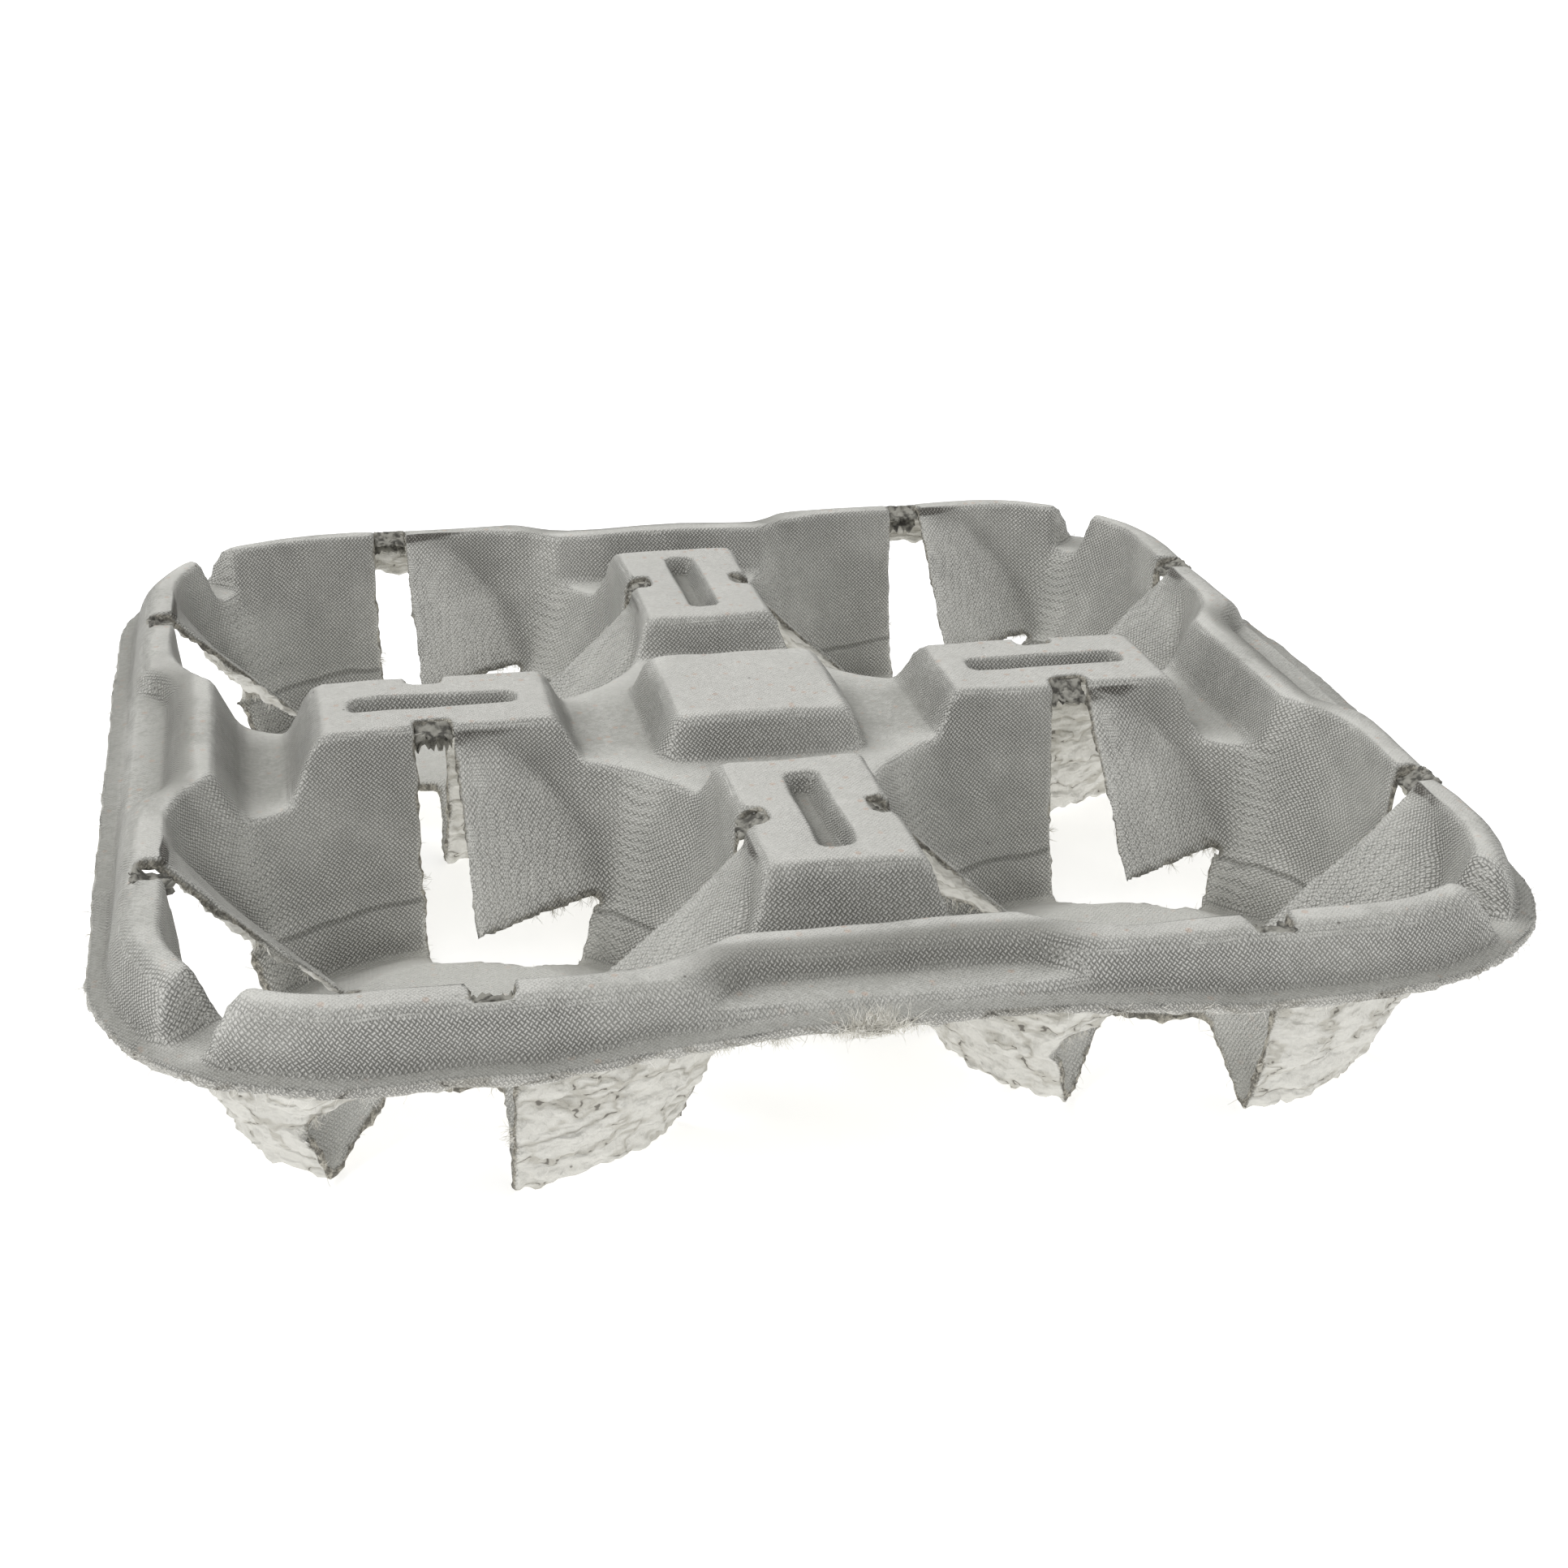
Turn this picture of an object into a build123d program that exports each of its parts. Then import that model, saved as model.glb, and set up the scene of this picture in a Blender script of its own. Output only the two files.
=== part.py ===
"""Moulded pulp carrier for four cups: one drafted sheet with wells, bosses, a rim and leaning flaps.

The sheet is the solid under its smooth upper face less the solid under its rough lower face.
Both come from one form, the lower one drawn in by the thickness of the sheet. Small rounds and
bevels are on the upper face only, where the sheet shows them.
"""
import os
from math import atan2, cos, hypot, radians, sin, sqrt, tan

from build123d import *

# Driving dimensions in millimetres, with Z = 0 under the feet
wall = 2.0
tray_height = 38.0
well_pitch = 105.6

# Wells: a rounded square at the mouth that turns round at the crease, levels above the foot's inside
well_width = 82.0
well_corner = 24.0
crease_rise = 9.6
crease_radius = 38.2
crease_flat = 1.0

# Feet and the raised floor of each well
foot_inset = 3.6
foot_width = 2.0
foot_ramp = 13.6
floor_rise = 6.3

# Rim round the wells, drops measured down from the top of the tray
rim_width = 10.9
lip_corner = 38.5
lip_land = 3.2
lip_drop = 9.7
lip_arch_rise = 2.8
lip_arch_length = 92.0
outer_draft = 12.0

# Rim crest, set back at the middle of each side to leave a ledge
crest_drop = 1.5
crest_bevel = 1.6
crest_draft = 25.0
crest_land = 7.2
ledge_drop = 5.7
waist_depth = 5.8
waist_length = 40.0
waist_flare = 45.0
waist_round = 9.0
waist_round_share = 0.49

# Bosses between the wells, each with a blind groove along its top
boss_inner_reach = 19.9
boss_bevel = 1.2
bevel_angle = 45.0
groove_margin = 5.4
groove_width = 5.4
groove_depth = 3.4
groove_draft = 22.0

# Block in the middle of the tray and the saddle round it
block_width = 29.2
block_corner = 5.0
block_draft = 24.0
saddle_depth = 6.8
saddle_corner = 8.0
saddle_draft = 26.0

# Valley between each boss and the rim
valley_width = 16.4
valley_depth = 10.4
valley_slope = 24.0
valley_round = 3.0

# Notch through the rim at each corner of the tray
notch_width = 10.4
notch_depth = 9.6
notch_slope = 14.0
notch_round = 1.6

# Slots, and the flap that leans in on the right of each slot
slot_width = 5.3
slot_bite = 3.8
flap_drop = 2.6
flap_lean = 24.4
flap_root_width = 10.5
flap_hinge_angle = 41.0
flap_window_angle = 37.0
flap_embed = 0.4
hinge_spread_angle = 10.0
hinge_spread = 5.0

# Levels and places that follow from the driving dimensions
half_pitch = well_pitch / 2
crease_level = wall + crease_rise
floor_level = wall + floor_rise
lip_top = tray_height - lip_drop
crest_top = tray_height - crest_drop
ledge_top = tray_height - ledge_drop
saddle_level = tray_height - saddle_depth
valley_level = tray_height - valley_depth
notch_level = tray_height - notch_depth
flap_top = tray_height - flap_drop
foot_outer = crease_radius - foot_inset
foot_inner = foot_outer - foot_width
floor_radius = foot_inner - foot_ramp
lip_width = well_pitch + well_width + 2 * rim_width
skirt_width = lip_width - 2 * lip_land
skirt_corner = lip_corner - lip_land
band_half = skirt_width / 2 - (ledge_top - lip_top) * tan(radians(outer_draft))
boss_inner_end = half_pitch - boss_inner_reach
valley_outer = band_half - waist_depth - crest_land
boss_outer_end = valley_outer - valley_width
valley_length = well_pitch - well_width + 2 * well_corner
slot_reach = well_width / 2 + slot_bite
flap_tip = crease_radius - flap_lean
cut_clear = 2 * wall
flap_back = slot_reach + cut_clear
below = tray_height / 2
wells = [(x * half_pitch, y * half_pitch) for x, y in ((1, 1), (-1, 1), (-1, -1), (1, -1))]


def well_share(level):
    """How far a level is up a well's upper wall, from 0 at the crease to 1 at the mouth."""
    return (level - crease_level) / (tray_height - crease_level)


def well_half(level):
    """Half width of a well's upper wall at a level."""
    return crease_radius + (well_width / 2 - crease_radius) * well_share(level)


def well_round(level):
    """Corner radius of a well's upper wall at a level."""
    crease_corner = crease_radius - crease_flat
    return crease_corner + (well_corner - crease_corner) * well_share(level)


def well_pocket(skin):
    """Hollow of one well down to its feet, grown by skin."""
    crease = crease_radius + skin
    low = crease_level - skin
    high = tray_height + cut_clear
    ramp = atan2(floor_rise, foot_ramp)
    steep = atan2(crease_rise, foot_inset)
    with BuildPart() as pocket:
        with BuildSketch(Plane.XY.offset(low)):
            RectangleRounded(2 * crease, 2 * crease, crease - crease_flat)
        with BuildSketch(Plane.XY.offset(high)):
            mouth = 2 * (well_half(high) + skin)
            RectangleRounded(mouth, mouth, well_round(high) + skin)
        loft(ruled=True)
        if not skin:
            for level, grow in ((tray_height - boss_bevel, 0), (tray_height, boss_bevel)):
                with BuildSketch(Plane.XY.offset(level)):
                    mouth = 2 * (well_half(level) + grow)
                    RectangleRounded(mouth, mouth, well_round(level) + grow)
            loft(ruled=True)
        with BuildSketch(Plane.XZ):
            with BuildLine():
                Polyline(
                    (0, low),
                    (crease, low),
                    (foot_outer + skin * tan(steep / 2), wall - skin),
                    (foot_inner - skin * tan(ramp / 2), wall - skin),
                    (floor_radius - skin * tan(ramp / 2), floor_level - skin),
                    (0, floor_level - skin),
                    close=True,
                )
            make_face()
        revolve(axis=Axis.Z)
    return pocket.part


def flap_wedge(skin):
    """What one leaning flap takes from the hollow of a well, drawn in by skin; its slot looks along +X."""
    high = flap_top - skin
    root = well_half(high) + skin + flap_embed
    lean = (well_half(flap_top) - flap_tip) / (flap_top - crease_level)
    tip = flap_tip + skin * (hypot(1, lean) - lean)
    crease = crease_radius + skin
    hinge = radians(flap_hinge_angle)
    spread = radians(flap_hinge_angle + hinge_spread_angle)
    with BuildPart() as wedge:
        with BuildSketch(Plane.XY.offset(crease_level - skin)):
            with BuildLine():
                Polyline(
                    (tip, -skin),
                    (crease * cos(hinge), -crease * sin(hinge)),
                    (flap_back * cos(spread), -flap_back * sin(spread)),
                    (flap_back, -skin),
                    close=True,
                )
            make_face()
        with BuildSketch(Plane.XY.offset(high)):
            with BuildLine():
                Polyline(
                    (root, -skin),
                    (root, -flap_root_width),
                    (flap_back, -flap_root_width - hinge_spread),
                    (flap_back, -skin),
                    close=True,
                )
            make_face()
        loft(ruled=True)
    return wedge.part


def well_hollow(skin):
    """Hollow of one well, less what its four leaning flaps take from it."""
    with BuildPart() as hollow:
        add(well_pocket(skin))
        with PolarLocations(0, 4):
            add(flap_wedge(skin), mode=Mode.SUBTRACT)
    return hollow.part


def rim_valley(skin):
    """Hollow between a boss and the rim, along Y on the +X side, grown by skin."""
    inner = boss_outer_end - skin
    outer = valley_outer + skin
    slope = tan(radians(valley_slope))
    run = (valley_depth + skin) * slope
    with BuildPart() as valley:
        with BuildSketch(Plane.XZ) as profile:
            with BuildLine():
                Polyline(
                    (inner, tray_height),
                    (outer, tray_height),
                    (outer - run, valley_level - skin),
                    (inner + run, valley_level - skin),
                    close=True,
                )
            make_face()
            if not skin:
                fillet(profile.vertices().group_by(Axis.Y)[0], valley_round)
                with BuildLine():
                    Polyline(
                        (inner - boss_bevel, tray_height),
                        (outer, tray_height),
                        (inner + boss_bevel * slope, tray_height - boss_bevel),
                        close=True,
                    )
                make_face()
        extrude(amount=valley_length / 2, both=True)
    return valley.part


def crest_band(skin):
    """Upper band of the rim, set back at the middle of each side, drawn in by skin."""
    flare = radians(waist_flare)
    reach = waist_length / 2 + waist_depth / tan(flare)
    turn = min(waist_round, waist_round_share * waist_depth / sin(flare) / tan(flare / 2))
    with BuildSketch() as setback:
        with BuildLine():
            Polyline(
                (band_half, reach),
                (band_half - waist_depth, waist_length / 2),
                (band_half - waist_depth, -waist_length / 2),
                (band_half, -reach),
                close=True,
            )
        make_face()
    with BuildPart() as band:
        with BuildSketch(Plane.XY.offset(ledge_top - skin)) as outline:
            RectangleRounded(2 * band_half, 2 * band_half, skirt_corner)
            with PolarLocations(0, 4):
                add(setback.sketch, mode=Mode.SUBTRACT)
            if skin:
                offset(amount=-skin, kind=Kind.INTERSECTION)
            else:
                near_waist = outline.vertices().filter_by(lambda v: min(abs(v.X), abs(v.Y)) < reach + wall)
                fillet(near_waist, turn)
        extrude(amount=crest_top - ledge_top, taper=crest_draft)
        if not skin:
            chamfer(band.edges().group_by(Axis.Z)[-1], crest_bevel)
    return band.part


def lip_arch(skin):
    """Low rise of the lip along the middle of the sides that face X."""
    level = lip_top - skin
    end = lip_arch_length / 2
    with BuildPart() as arch:
        with BuildSketch(Plane.YZ):
            with BuildLine():
                ThreePointArc((-end, level), (0, level + lip_arch_rise), (end, level))
                Line((end, level), (-end, level))
            make_face()
        extrude(amount=lip_width / 2 + (cut_clear if skin else 0), both=True)
    return arch.part


def corner_notch(skin):
    """Hollow through the rim along +X, turned to the corners when it is placed."""
    half_top = notch_width / 2 + skin
    half_low = half_top - notch_depth * tan(radians(notch_slope))
    with BuildPart() as notch:
        with BuildSketch(Plane.YZ.offset(half_pitch * sqrt(2) + crease_radius)) as profile:
            with BuildLine():
                Polyline(
                    (-half_top, tray_height),
                    (half_top, tray_height),
                    (half_low, notch_level - skin),
                    (-half_low, notch_level - skin),
                    close=True,
                )
            make_face()
            if not skin:
                fillet(profile.vertices().group_by(Axis.Y)[0], notch_round)
        extrude(amount=lip_width / 2)
    return notch.part


def middle_block(skin):
    """Block that stands in the saddle, drawn in by skin."""
    base = block_width + 2 * saddle_depth * tan(radians(block_draft)) - 2 * skin
    with BuildPart() as block:
        with BuildSketch(Plane.XY.offset(saddle_level - skin)):
            if skin:
                Rectangle(base, base)
            else:
                RectangleRounded(base, base, block_corner)
        extrude(amount=saddle_depth, taper=block_draft)
        if not skin:
            chamfer(block.edges().group_by(Axis.Z)[-1], boss_bevel)
    return block.part


def saddle_pocket(skin):
    """Hollow round the block, between the inner ends of the bosses, grown by skin."""
    slope = tan(radians(saddle_draft))
    with BuildPart() as saddle:
        with BuildSketch(Plane.XY.offset(saddle_level - skin)):
            base = 2 * (boss_inner_end - saddle_depth * slope + skin)
            if skin:
                Rectangle(base, base)
            else:
                RectangleRounded(base, base, saddle_corner)
        extrude(amount=saddle_depth + skin, taper=-saddle_draft)
        if not skin:
            with BuildSketch(Plane.XY.offset(tray_height - boss_bevel)):
                mouth = 2 * (boss_inner_end - boss_bevel * slope)
                Rectangle(mouth, mouth)
            extrude(amount=boss_bevel, taper=-bevel_angle)
    return saddle.part


def moulded_form(skin):
    """Solid under one face of the sheet: the upper face with no skin, the lower face with the wall."""
    apron = cut_clear if skin else 0
    with BuildPart() as form:
        with BuildSketch(Plane.XY.offset(-below)):
            RectangleRounded(lip_width + 2 * apron, lip_width + 2 * apron, lip_corner + apron)
        extrude(amount=below + lip_top - skin)
        with PolarLocations(0, 2, angular_range=180):
            add(lip_arch(skin))
        with BuildSketch(Plane.XY.offset(lip_top - skin)):
            RectangleRounded(skirt_width - 2 * skin, skirt_width - 2 * skin, skirt_corner - skin)
        extrude(amount=ledge_top - lip_top, taper=outer_draft)
        add(crest_band(skin))
        with BuildSketch(Plane.XY.offset(lip_top - skin)):
            Rectangle(2 * boss_outer_end, 2 * boss_outer_end)
        extrude(amount=lip_drop)
        with Locations(*wells):
            add(well_hollow(skin), mode=Mode.SUBTRACT)
        with PolarLocations(0, 4):
            add(rim_valley(skin), mode=Mode.SUBTRACT)
        add(saddle_pocket(skin), mode=Mode.SUBTRACT)
        add(middle_block(skin))
        with PolarLocations(0, 4, start_angle=45):
            add(corner_notch(skin), mode=Mode.SUBTRACT)
        with BuildSketch(Plane.XY.offset(tray_height - skin)):
            with PolarLocations((boss_inner_end + boss_outer_end) / 2, 4):
                Rectangle(
                    boss_outer_end - boss_inner_end - 2 * groove_margin + 2 * skin, groove_width + 2 * skin
                )
        extrude(amount=-groove_depth, taper=groove_draft, mode=Mode.SUBTRACT)
    return form.part


def slot_and_window():
    """Through cut of one slot along +X and of the window under the flap on its right."""
    side = radians(flap_window_angle)
    with BuildPart() as cut:
        with BuildSketch(Plane.XY.offset(-cut_clear)):
            with Locations((floor_radius, 0)):
                Rectangle(slot_reach - floor_radius, slot_width, align=(Align.MIN, Align.CENTER))
        extrude(amount=tray_height + 2 * cut_clear)
        with BuildSketch(Plane.XY.offset((floor_level + crease_level) / 2)):
            Rectangle(slot_reach, slot_width, align=(Align.MIN, Align.CENTER))
        extrude(amount=tray_height)
        with BuildSketch(Plane.XY.offset(-cut_clear)):
            Circle(slot_reach)
            Circle(floor_radius, mode=Mode.SUBTRACT)
            with BuildLine():
                Polyline(
                    (0, 0),
                    (2 * slot_reach, 0),
                    (2 * slot_reach, -2 * slot_reach * tan(side)),
                    close=True,
                )
            make_face(mode=Mode.INTERSECT)
        extrude(amount=crease_level + cut_clear)
    return cut.part


os.makedirs("parts", exist_ok=True)
with BuildPart() as cup_carrier:
    add(moulded_form(0))
    add(moulded_form(wall), mode=Mode.SUBTRACT)
    with Locations(*wells):
        with PolarLocations(0, 4):
            add(slot_and_window(), mode=Mode.SUBTRACT)
cup_carrier.part.label = "cup_carrier"
export_step(cup_carrier.part, "parts/cup_carrier.step")
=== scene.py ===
"""Looks of a moulded pulp carrier for four cups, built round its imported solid.

The carrier is one felted sheet. Its upper face took the weave of the moulding screen, its under face
dried free and crinkled, and the slots were punched through it, which left torn edges with loose fibres.
"""

import logging
import math
import random
from dataclasses import dataclass
from enum import Enum

import bpy
import numpy as np
from mathutils import Matrix, Vector
from mathutils.bvhtree import BVHTree


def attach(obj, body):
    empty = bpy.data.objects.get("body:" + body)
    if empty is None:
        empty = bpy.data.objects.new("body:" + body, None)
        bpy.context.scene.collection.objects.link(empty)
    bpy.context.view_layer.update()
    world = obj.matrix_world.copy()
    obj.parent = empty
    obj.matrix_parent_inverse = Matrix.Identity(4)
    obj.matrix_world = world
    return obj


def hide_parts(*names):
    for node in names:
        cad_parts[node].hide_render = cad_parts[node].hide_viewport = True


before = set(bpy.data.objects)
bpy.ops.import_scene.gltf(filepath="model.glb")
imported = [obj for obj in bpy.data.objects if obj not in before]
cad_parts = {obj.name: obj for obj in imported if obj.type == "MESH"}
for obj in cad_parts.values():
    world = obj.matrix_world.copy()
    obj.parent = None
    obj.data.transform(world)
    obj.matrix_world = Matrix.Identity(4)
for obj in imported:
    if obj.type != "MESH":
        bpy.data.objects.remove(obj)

MM = 0.001
NODE_NAME = "cup_carrier"
BODY_NAME = "root"
HALF_PITCH = 52.8 * MM
FLAP_LEVEL = 11.6 * MM

Colour = tuple[float, float, float, float]
Place = tuple[float, float, float]
Limits = tuple[float, float]
Root = tuple[Vector, Vector]
Socket = bpy.types.NodeSocket
Input = Socket | float | Colour | Place

WHITE: Colour = (1.0, 1.0, 1.0, 1.0)

logging.basicConfig(level=logging.INFO, format="%(name)s: %(message)s")
log = logging.getLogger("carrier")


class SheetMark(Enum):
    """Marks kept on the sheet's points, for its finish and for the limits of its roughness."""

    UNDER = "under"
    EDGE = "edge"
    LIP = "lip"
    # Painted shade in the narrow inward folds.
    HOLLOW = "hollow"
    # Painted shade in the broad inward folds and on the waist's steep slope.
    COVE = "cove"
    # Painted light: the walls inside the wells are painted paler.
    WELL = "well"
    # Painted shade on the lip's land.
    LAND = "land"
    # The flaps' cracks and hinge folds: dented in the relief and painted dark as shade.
    CRACK = "crack"
    HEM = "hem"
    BODY = "body"


def select_only(piece: bpy.types.Object) -> None:
    """Makes one object the only selected and the active one.

    Args:
        piece: The object that the next operator works on.
    """
    bpy.ops.object.select_all(action="DESELECT")
    piece.select_set(True)
    bpy.context.view_layer.objects.active = piece


def apply_modifier(piece: bpy.types.Object, modifier: bpy.types.Modifier) -> None:
    """Applies one modifier to its object's mesh."""
    select_only(piece)
    bpy.ops.object.modifier_apply(modifier=modifier.name)


def dress(piece: bpy.types.Object, material: bpy.types.Material) -> None:
    """Gives a piece its one finish."""
    piece.data.materials.clear()
    piece.data.materials.append(material)


def register(piece: bpy.types.Object) -> None:
    """Ties a finished piece to the frame and logs it.

    Args:
        piece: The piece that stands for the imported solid.
    """
    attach(piece, BODY_NAME)
    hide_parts(NODE_NAME)
    log.info("%s: %d faces", piece.name, len(piece.data.polygons))


@dataclass(frozen=True)
class Span:
    """A smooth step: the inputs between which it runs, and its results at both ends."""

    low: float
    high: float
    start: float = 0.0
    end: float = 1.0


@dataclass(frozen=True)
class Noise:
    """A cloudy pattern: its features a metre, its octaves and how much each octave adds."""

    scale: float
    octaves: float = 2.0
    rough: float = 0.5


@dataclass(frozen=True)
class Specks:
    """Scattered specks: cells a metre, a speck's radius in cells, and the part of the cells with one."""

    scale: float
    radius: float
    share: float


@dataclass
class NodeBuilder:
    """Short calls for adding and linking shader nodes in one material."""

    tree: bpy.types.NodeTree

    def add(self, kind: str, feeds: dict[str | int, Input] | None = None,
            **settings: str | bool) -> bpy.types.Node:
        """Adds a node, sets its properties and feeds its inputs.

        Args:
            kind: The node's type name.
            feeds: What goes into its inputs, by their name or number.
            **settings: Properties of the node by name.

        Returns:
            The new node.
        """
        node = self.tree.nodes.new(kind)
        for name, value in settings.items():
            setattr(node, name, value)
        for name, value in (feeds or {}).items():
            self.feed(node.inputs[name], value)
        return node

    def feed(self, socket: Socket, value: Input) -> None:
        """Links another node's output to a socket, or sets the socket's value.

        Args:
            socket: The input socket.
            value: An output socket, or a plain value.
        """
        if isinstance(value, Socket):
            self.tree.links.new(value, socket)
        else:
            socket.default_value = value

    def math(self, operation: str, *values: Input, clamp: bool = False) -> Socket:
        """Works out a value from others, kept between 0 and 1 if asked."""
        feeds = dict(enumerate(values))
        return self.add("ShaderNodeMath", feeds, operation=operation, use_clamp=clamp).outputs[0]

    def times(self, first: Input, second: Input) -> Socket:
        """Multiplies two values."""
        return self.math("MULTIPLY", first, second)

    def plus(self, total: Input, value: Input, factor: Input) -> Socket:
        """Adds a value, times a factor, to a total."""
        return self.math("MULTIPLY_ADD", value, factor, total)

    def larger(self, first: Input, second: Input) -> Socket:
        """Takes the larger of two values."""
        return self.math("MAXIMUM", first, second)

    def ramp(self, value: Socket, span: Span) -> Socket:
        """Maps a value along a smooth step."""
        ends = {"From Min": span.low, "From Max": span.high, "To Min": span.start, "To Max": span.end}
        node = self.add("ShaderNodeMapRange", {"Value": value, **ends}, interpolation_type="SMOOTHSTEP")
        return node.outputs["Result"]

    def split(self, vector: Socket) -> tuple[Socket, ...]:
        """Splits a vector into its three parts."""
        return tuple(self.add("ShaderNodeSeparateXYZ", {0: vector}).outputs)

    def scaled(self, vector: Socket, factors: Place, shift: Input = (0.0, 0.0, 0.0)) -> Socket:
        """Scales a vector along each axis and adds another to it."""
        feeds = {0: vector, 1: factors, 2: shift}
        return self.add("ShaderNodeVectorMath", feeds, operation="MULTIPLY_ADD").outputs[0]

    def clouds(self, place: Socket, noise: Noise) -> bpy.types.Node:
        """Adds a noise texture."""
        feeds = {"Vector": place, "Scale": noise.scale, "Detail": noise.octaves, "Roughness": noise.rough}
        return self.add("ShaderNodeTexNoise", feeds)

    def noise(self, place: Socket, noise: Noise) -> Socket:
        """Adds a noise texture and gives its value."""
        return self.clouds(place, noise).outputs[0]

    def specks(self, place: Socket, specks: Specks) -> Socket:
        """Adds scattered round specks.

        Args:
            place: The coordinates.
            specks: The pattern.

        Returns:
            A mask socket, 1 on a speck.
        """
        cells = self.add("ShaderNodeTexVoronoi", {"Vector": place, "Scale": specks.scale}, feature="F1")
        pick = self.add("ShaderNodeSeparateColor", {0: cells.outputs["Color"]}).outputs[0]
        rim = Span(0.5 * specks.radius, specks.radius, 1.0, 0.0)
        spot = self.ramp(cells.outputs["Distance"], rim)
        return self.times(self.math("LESS_THAN", pick, specks.share), spot)

    def mix(self, factor: Input, low: Input, high: Input) -> Socket:
        """Mixes two colours, the low one at a factor of 0 and the high one at 1."""
        feeds = {"Factor": factor, 6: low, 7: high}
        return self.add("ShaderNodeMix", feeds, data_type="RGBA").outputs[2]

    def mark(self, mark: SheetMark) -> Socket:
        """Reads one of the marks kept on the sheet's points."""
        return self.add("ShaderNodeAttribute", attribute_name=mark.value).outputs["Fac"]


@dataclass(frozen=True)
class MatteBase:
    """A new material with a dull surface, ready for its colour."""

    name: str
    roughness: float
    specular: float

    def build(self) -> tuple[bpy.types.Material, NodeBuilder, bpy.types.Node]:
        """Makes the material.

        Returns:
            The material, its node builder and its surface node.
        """
        material = bpy.data.materials.new(self.name)
        material.use_nodes = True
        shader = material.node_tree.nodes["Principled BSDF"]
        shader.inputs["Roughness"].default_value = self.roughness
        shader.inputs["Specular IOR Level"].default_value = self.specular
        return material, NodeBuilder(material.node_tree), shader


@dataclass(frozen=True)
class PulpPatterns:
    """Sockets that the pulp's colours and its relief share."""

    place: Socket
    spot: tuple[Socket, ...]
    facing: tuple[Socket, ...]
    level: Socket
    under: Socket
    edge: Socket
    lip: Socket
    split: Socket
    broad: Socket
    mottle: Socket
    grain: Socket
    crumple: Socket
    layer: Socket
    weave: Socket
    crease: Socket


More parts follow.
